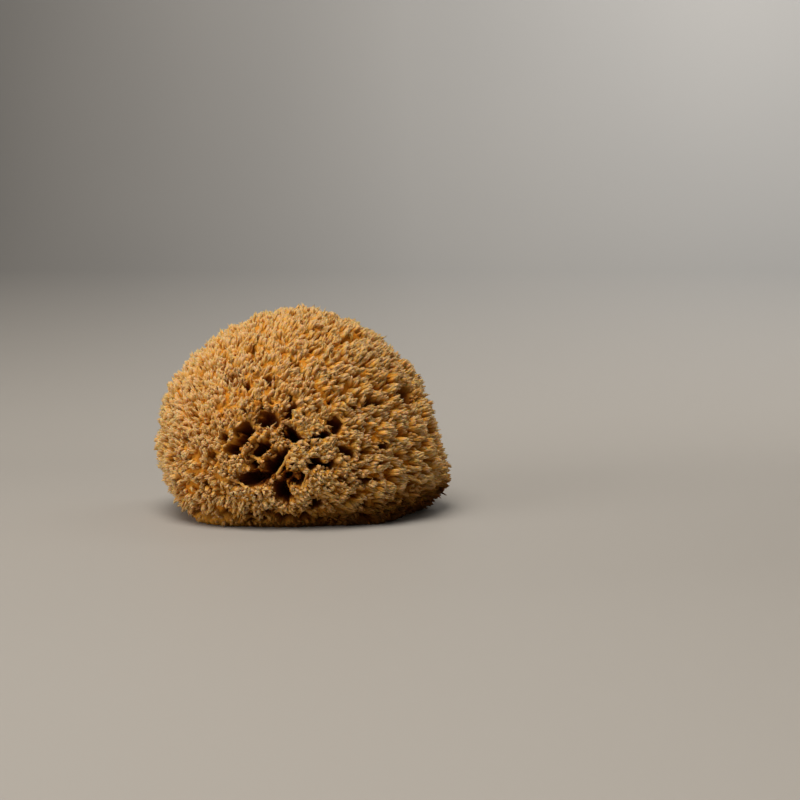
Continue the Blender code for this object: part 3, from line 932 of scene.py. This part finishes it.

        # depth in an opening, which the finish turns into painted shade
        depth = np.clip(sunk / DARKEST_SHADE_DEPTH, 0.0, 1.0)
        start = np.maximum(sizes.root_rise, sizes.short_rise * (1.0 - full))[:, None, None]
        rises = start + (1.0 - start) * rises
        marks = np.stack(np.broadcast_arrays(rises, depth[:, None, None], shade[:, None, None]), axis=-1)
        top_marks = np.stack(np.broadcast_arrays(sizes.dip_rise, depth, shade), axis=1)
        return closed_shapes(body, tops, marks, top_marks)


@dataclass(frozen=True)
class StrandSizes:
    """Sizes of the strands that cross the canals, in mm and degrees."""

    strands: int = 16
    span: tuple[float, float] = (45.0, 110.0)  # how far round the rim a strand's other end lies
    rim: float = 1.12  # where a strand ends, as a share of the canal's radius
    sag: tuple[float, float] = (0.2, 1.8)
    thin: tuple[float, float] = (0.40, 0.65)
    thick: float = 2.1  # by which a strand's ends are thicker than its middle
    rings: int = 11
    sides: int = 7
    knots: float = 0.30
    knot_wave: float = 1.9
    sink: float = 0.4  # of its path into the skin
    rise: float = 0.62  # its colour, from root to tip
    darkest_shade_sag: float = 25.0  # sag at which its painted shade would be as dark as the bottom of a canal


class Strands:
    """Thin bars of fibre that cross the canals."""

    def __init__(self, skin: Skin, sizes: StrandSizes) -> None:
        """Chooses a canal for each strand, and its two ends on the canal's rim."""
        self.skin, self.sizes = skin, sizes
        random = np.random.default_rng(SEED + 5)
        openings, count = skin.openings, sizes.strands
        canal = random.integers(0, len(openings.sizes.canals), count)
        first = random.uniform(0.0, 2.0 * math.pi, count)
        turns = np.stack((first, first + np.radians(random.uniform(*sizes.span, count))))
        sideways = np.cos(turns) * openings.half_width[canal] * sizes.rim
        upright = np.sin(turns) * openings.half_height[canal] * sizes.rim
        spots = openings.axis[canal] * openings.distance[canal, None]
        spots = spots + sideways[..., None] * openings.across[canal]
        self.ends = normalised(spots + upright[..., None] * openings.upwards[canal])
        self.sag = random.uniform(*sizes.sag, count)
        self.thin = random.uniform(*sizes.thin, count)
        self.knots = WaveNoise(random, sizes.knot_wave)

    def shape(self) -> Surface:
        """The strands, a lumpy round profile carried along each path.

        A path's direction goes evenly from one end's to the other's, and its distance likewise,
        less the sag times half a sine wave. The profile is thinnest half way.

        Returns:
            The strands' surface.
        """
        sizes, count = self.sizes, self.sizes.strands
        start, finish = (in_blocks(self.skin.measure, ends) for ends in self.ends)
        share = np.linspace(0.0, 1.0, sizes.rings)[None, :, None]
        directions = normalised(self.ends[0][:, None] * (1.0 - share) + self.ends[1][:, None] * share)
        level = start[:, 0, None, None] * (1.0 - share) + finish[:, 0, None, None] * share
        level = level - sizes.sink - self.sag[:, None, None] * np.sin(math.pi * share)
        path = directions * level
        along = normalised(np.gradient(path, axis=1))
        first, second = tangents(along.reshape(-1, 3))
        turn = np.arange(sizes.sides) * 2.0 * math.pi / sizes.sides
        aside = np.cos(turn)[:, None] * first[:, None] + np.sin(turn)[:, None] * second[:, None]
        aside = aside.reshape(count, sizes.rings, sizes.sides, 3)
        bulge = 1.0 + (sizes.thick - 1.0) * (2.0 * share - 1.0) ** 2
        spots = path[:, :, None] + aside * self.thin[:, None, None, None]
        lumps = 1.0 + sizes.knots * self.knots.at(spots.reshape(-1, 3)).reshape(spots.shape[:3])
        girth = self.thin[:, None, None] * bulge * lumps
        centre = np.array(self.skin.form.centre)
        body = path[:, :, None] + aside * girth[..., None] + centre
        ones = np.ones((count, sizes.rings, sizes.sides))
        # the deeper a strand sags into its canal, the more painted shade it gets
        depth = self.sag[:, None, None] * ones / sizes.darkest_shade_sag
        marks = np.stack((sizes.rise * ones, depth, 0.5 * ones), axis=-1)
        top_marks = np.tile((sizes.rise, 0.0, 0.5), (count, 1))
        return closed_shapes(body, path[:, -1] + centre, marks, top_marks)


class Side(Enum):
    """The parts that the tufts are made in, by the azimuth of their middle."""

    FRONT = -90.0
    RIGHT = 30.0
    BACK = 150.0

    def holds(self, directions: np.ndarray) -> np.ndarray:
        """Whether each direction lies in this third."""
        azimuth = np.degrees(np.arctan2(directions[:, 1], directions[:, 0]))
        return np.abs((azimuth - self.value + 180.0) % 360.0 - 180.0) <= 60.0


class Socket:
    """A node's output that can stand in a Python expression, each operation adding a Math node."""

    def __init__(self, bench: "Bench", source: bpy.types.NodeSocket) -> None:
        """Wraps one output of a node on the bench."""
        self.bench, self.source = bench, source

    def math(self, operation: str, *others: "Socket | float") -> "Socket":
        """The result of a Math node on this value and the others."""
        inputs = {index: value for index, value in enumerate((self, *others))}
        return self.bench.add("ShaderNodeMath", {"operation": operation}, inputs)[0]

    def __add__(self, other: "Socket | float") -> "Socket":
        """This value plus the other."""
        return self.math("ADD", other)

    def __mul__(self, other: "Socket | float") -> "Socket":
        """This value times the other."""
        return self.math("MULTIPLY", other)

    def __sub__(self, other: "Socket | float") -> "Socket":
        """This value less the other."""
        return self.math("SUBTRACT", other)

    def __rsub__(self, other: float) -> "Socket":
        """The number less this value."""
        return self * -1.0 + other

    def __pow__(self, other: float) -> "Socket":
        """This value to the power of the number."""
        return self.math("POWER", other)

    __radd__ = __add__
    __rmul__ = __mul__

    def clamped(self) -> "Socket":
        """This value kept between 0 and 1."""
        return self.math("MAXIMUM", 0.0).math("MINIMUM", 1.0)

    def ramp(self, start: float, gain: float) -> "Socket":
        """0 up to the start, then rising by the gain, and 1 from there on."""
        return ((self - start) * gain).clamped()


class Bench:
    """The nodes of one material."""

    def __init__(self, name: str) -> None:
        """Starts a material with nothing in it."""
        self.material = bpy.data.materials.new(name)
        self.material.use_nodes = True
        self.tree = self.material.node_tree
        self.tree.nodes.clear()

    def add(self, kind: str, settings: dict, inputs: dict) -> list[Socket]:
        """Adds a node.

        Args:
            kind: the node's type.
            settings: its properties, set before its inputs.
            inputs: values or sockets, by the input's name or number.

        Returns:
            Its outputs, wrapped.
        """
        node = self.tree.nodes.new(kind)
        for key, value in settings.items():
            setattr(node, key, value)
        for key, value in inputs.items():
            if isinstance(value, Socket):
                self.tree.links.new(value.source, node.inputs[key])
            else:
                node.inputs[key].default_value = value
        return [Socket(self, output) for output in node.outputs]

    def mixed(self, factor: Socket, first: Socket | tuple, second: Socket | tuple) -> Socket:
        """A colour between the two, the second at factor 1."""
        return self.add("ShaderNodeMix", {"data_type": "RGBA"}, {0: factor, 6: first, 7: second})[2]

    def noise(self, scale: float, detail: float, coordinates: Socket) -> Socket:
        """Noise of this scale, per metre, from 0 to 1."""
        inputs = {"Vector": coordinates, "Scale": scale, "Detail": detail, "Roughness": 0.6}
        return self.add("ShaderNodeTexNoise", {"noise_dimensions": "3D"}, inputs)[0]


@dataclass(frozen=True)
class SpongeFinish:
    """Dry sponge fibre: pale at the tips, golden brown at the roots (partly painted shade), with painted
    shade in canals and at the foot.

    A ramp is the value at which a colour starts and the gain by which it takes over from there.
    """

    # From tips to roots the fibre goes from pale to a darker golden brown: partly its own colour, partly
    # painted shade deep among the tufts
    tip: tuple = (0.53, 0.345, 0.175, 1.0)
    middle: tuple = (0.57, 0.275, 0.045, 1.0)
    root: tuple = (0.44, 0.140, 0.003, 1.0)
    # painted shade down the walls of the openings, darkest in their deep wells
    wall: tuple = (0.24, 0.078, 0.005, 1.0)
    well: tuple = (0.11, 0.026, 0.005, 1.0)
    warm: tuple = (0.50, 0.235, 0.034, 1.0)
    # darker brown low down: partly the foot's own colour, partly painted shade under the overhang
    foot_brown_and_shade: tuple = (0.19, 0.075, 0.008, 1.0)
    # near black: painted shadow where the overhang meets the floor
    edge: tuple = (0.04, 0.014, 0.003, 1.0)
    middle_ramp: tuple[float, float] = (0.0, 1.8)  # over the way from root to tip
    tip_ramp: tuple[float, float] = (0.5, 2.0)
    tip_power: float = 1.3
    patch_scale: float = 70.0  # per metre
    warm_ramp: tuple[float, float] = (0.48, 2.4)  # over the patches
    warm_share: float = 0.55
    fleck_scale: float = 900.0
    fleck_share: float = 0.35  # by which flecks shift the colour between root and tip
    shade_share: float = 0.16  # by which each tuft's own shade does
    foot_shade_height: float = 0.012  # under which painted shade darkens the fibre towards the foot
    shade_lean_right: float = 0.12  # by which that height grows along +X, so the painted shade reaches higher on the right
    foot_gain: float = 1.5
    # how strongly the painted foot shade takes over
    foot_shade_share: float = 0.9
    edge_shadow_ramp: tuple[float, float] = (0.75, 1.6)  # painted shadow at the very bottom edge, over the way down to the foot
    wall_shade_ramp: tuple[float, float] = (0.0, 2.6)  # painted shade down the walls, over the depth in an opening
    # painted shade in the deep wells
    well_shade_ramp: tuple[float, float] = (0.25, 2.2)
    roughness: float = 0.92
    gloss: float = 0.06
    bump: float = 0.5
    bump_distance: float = 0.0004
    glow: float = 0.42  # share of the light that passes through the thin fibre
    glow_reach: tuple = (1.0, 0.45, 0.12)
    glow_scale: float = 0.0016

    def material(self) -> bpy.types.Material:
        """Makes the material.

        The colour rises from root to middle to tip with the fibre's own mark, and each tuft has its
        own random tone. Patches of a warmer brown lie over it. Painted shade darkens the fibre towards
        the foot and higher up on the right, partly the foot's own darker brown, with a painted shadow at
        its very edge. Painted shade darkens it all with depth in an opening.

        Returns:
            The material, which reads Object coordinates and the fibre attribute.
        """
        bench = Bench("dry_sponge_fibre")
        marks = bench.add("ShaderNodeAttribute", {"attribute_name": "fibre"}, {})[0]
        rise, depth, shade = bench.add("ShaderNodeSeparateColor", {}, {0: marks})[:3]
        place = bench.add("ShaderNodeTexCoord", {}, {})[3]
        patches = bench.noise(self.patch_scale, 3.0, place)
        flecks = bench.noise(self.fleck_scale, 4.0, place)
        lift = (rise + (flecks - 0.5) * self.fleck_share + (shade - 0.5) * self.shade_share).clamped()
        lower = bench.mixed(lift.ramp(*self.middle_ramp), self.root, self.middle)
        colour = bench.mixed(lift.ramp(*self.tip_ramp) ** self.tip_power, lower, self.tip)
        colour = bench.mixed(patches.ramp(*self.warm_ramp) * self.warm_share, colour, self.warm)
        across, _, height = bench.add("ShaderNodeSeparateXYZ", {}, {0: place})
        # Painted shade: darker towards the foot and higher up on the right, partly the foot's own darker
        # brown, then a painted shadow at the very edge
        low = (1.0 - (height - across * self.shade_lean_right) * (1.0 / self.foot_shade_height)) * self.foot_gain
        colour = bench.mixed(low.clamped() * self.foot_shade_share, colour, self.foot_brown_and_shade)
        colour = bench.mixed(low.ramp(*self.edge_shadow_ramp) * self.foot_shade_share, colour, self.edge)
        # Painted shade deepening down the openings
        colour = bench.mixed(depth.ramp(*self.wall_shade_ramp), colour, self.wall)
        colour = bench.mixed(depth.ramp(*self.well_shade_ramp), colour, self.well)
        relief = {"Strength": self.bump, "Distance": self.bump_distance, "Height": flecks}
        bump = bench.add("ShaderNodeBump", {}, relief)[0]
        looks = {
            "Base Color": colour,
            "Roughness": self.roughness,
            "Specular IOR Level": self.gloss,
            "Subsurface Weight": self.glow,
            "Subsurface Radius": self.glow_reach,
            "Subsurface Scale": self.glow_scale,
            "Normal": bump,
        }
        shader = bench.add("ShaderNodeBsdfPrincipled", {}, looks)[0]
        bench.add("ShaderNodeOutputMaterial", {}, {"Surface": shader})
        return bench.material


@dataclass(frozen=True)
class StageFinish:
    """Plain matt paint, from the floor's colour up into the wall's, with painted shade on the wall to the
    left.
    """

    floor: tuple = (0.345, 0.32, 0.29, 1.0)
    wall: tuple = (0.185, 0.183, 0.179, 1.0)
    # painted shade on the wall at the left
    left_wall_shade: tuple = (0.056, 0.055, 0.053, 1.0)
    change_height: float = 0.12
    left_edge: float = -0.30
    left_fade: float = 0.40
    patch_scale: float = 2.0  # per metre
    patch_share: float = 0.35
    patch_shade: float = 0.94  # of the floor's colour
    roughness: float = 0.6

    def material(self) -> bpy.types.Material:
        """Makes the material, a little uneven as paint is."""
        bench = Bench("studio_paint")
        place = bench.add("ShaderNodeTexCoord", {}, {})[3]
        across, _, height = bench.add("ShaderNodeSeparateXYZ", {}, {0: place})
        # Painted shade: the wall darkens to the left
        wall = bench.mixed(across.ramp(self.left_edge, 1.0 / self.left_fade), self.left_wall_shade, self.wall)
        colour = bench.mixed(height.ramp(0.0, 1.0 / self.change_height), self.floor, wall)
        darker = (*(part * self.patch_shade for part in self.floor[:3]), 1.0)
        uneven = bench.noise(self.patch_scale, 2.0, place)
        colour = bench.mixed(uneven * self.patch_share, colour, darker)
        looks = {"Base Color": colour, "Roughness": self.roughness}
        shader = bench.add("ShaderNodeBsdfPrincipled", {}, looks)[0]
        bench.add("ShaderNodeOutputMaterial", {}, {"Surface": shader})
        return bench.material


class Lamp(Enum):
    """The lights, each with its place, the point it faces, its width, power and colour."""

    KEY = ((-0.15, -0.38, 0.97), (0.0, 0.0, 0.04), 0.72, 11.5, (1.0, 0.96, 0.90))
    LEFT = ((-1.08, -0.74, 0.33), (0.0, 0.0, 0.03), 0.9, 9.2, (1.0, 0.98, 0.95))
    BACKDROP = ((0.55, 0.25, 0.70), (0.35, 1.2, 0.30), 0.5, 5.0, (1.0, 0.99, 0.97))


@dataclass(frozen=True)
class Studio:
    """The pale floor that curves up into a grey wall, the lights and the camera."""

    half_width: float = 3.0
    front: float = -3.0
    bend_start: float = 0.16
    bend_radius: float = 0.55
    top: float = 2.4
    bend_steps: int = 24
    camera_place: tuple = (0.0, -0.55, 0.092)
    focal: float = 55.6  # mm, like the sensor's width
    sensor_width: float = 36.0
    yaw: float = 4.46  # degrees to the right
    pitch: float = 4.45  # degrees down
    ambient: tuple = (0.63, 0.60, 0.55, 1.0)
    ambient_strength: float = 0.275

    def sweep(self) -> None:
        """The stage, a profile carried straight across: level, a quarter turn, then upright."""
        turn = np.linspace(0.0, math.pi / 2.0, self.bend_steps)
        along = np.concatenate(([self.front], self.bend_start + self.bend_radius * np.sin(turn)))
        above = np.concatenate(([0.0], self.bend_radius * (1.0 - np.cos(turn))))
        profile = np.stack((np.append(along, along[-1]), np.append(above, self.top)), axis=1)
        sides = np.array((-self.half_width, self.half_width))
        steps = len(profile)
        points = np.column_stack((np.repeat(sides, steps), np.tile(profile, (2, 1))))
        step = np.arange(steps - 1)
        faces = np.stack((step, step + steps, step + steps + 1, step + 1), axis=1)
        mesh = bpy.data.meshes.new("studio_sweep")
        mesh.from_pydata(points.tolist(), [], faces.tolist())
        mesh.shade_smooth()
        mesh.materials.append(StageFinish().material())
        sweep = bpy.data.objects.new("studio_sweep", mesh)
        bpy.context.scene.collection.objects.link(sweep)

    def build(self) -> None:
        """Lays the stage, hangs the lights and sets the camera."""
        self.sweep()
        for lamp in Lamp:
            place, target, width, power, colour = lamp.value
            data = bpy.data.lights.new("studio_" + lamp.name.lower(), "AREA")
            data.shape, data.size, data.energy, data.color = "DISK", width, power, colour
            light = bpy.data.objects.new(data.name, data)
            facing = (Vector(target) - Vector(place)).to_track_quat("-Z", "Y")
            light.matrix_world = Matrix.Translation(place) @ facing.to_matrix().to_4x4()
            bpy.context.scene.collection.objects.link(light)
        world = bpy.data.worlds.new("studio_air")
        world.use_nodes = True
        air = world.node_tree.nodes["Background"]
        air.inputs["Color"].default_value = self.ambient
        air.inputs["Strength"].default_value = self.ambient_strength
        scene = bpy.context.scene
        scene.world = world
        scene.view_settings.view_transform = "Standard"
        data = bpy.data.cameras.new("studio_camera")
        data.lens, data.sensor_width = self.focal, self.sensor_width
        camera = bpy.data.objects.new("studio_camera", data)
        turn = (math.radians(90.0 - self.pitch), 0.0, -math.radians(self.yaw))
        camera.location, camera.rotation_euler = self.camera_place, turn
        scene.collection.objects.link(camera)
        scene.camera = camera


def main() -> None:
    """Builds the skin, the tufts and the studio."""
    logging.basicConfig(level=logging.INFO, format="%(name)s: %(message)s")
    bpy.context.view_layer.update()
    form = GrowthForm()
    finish = SpongeFinish().material()
    skin = Skin(form, OpeningSizes(), SkinSizes())
    skin_surface(skin).build("skin", finish)
    Strands(skin, StrandSizes()).shape().build("strands", finish)
    for sizes in (TuftSizes(), NUBS):
        tufts = Tufts(skin, sizes)
        for side in Side:
            tufts.shape(side.holds(tufts.directions)).build(f"{sizes.name}_{side.name.lower()}", finish)
    Studio().build()


if __name__ == "__main__":
    main()
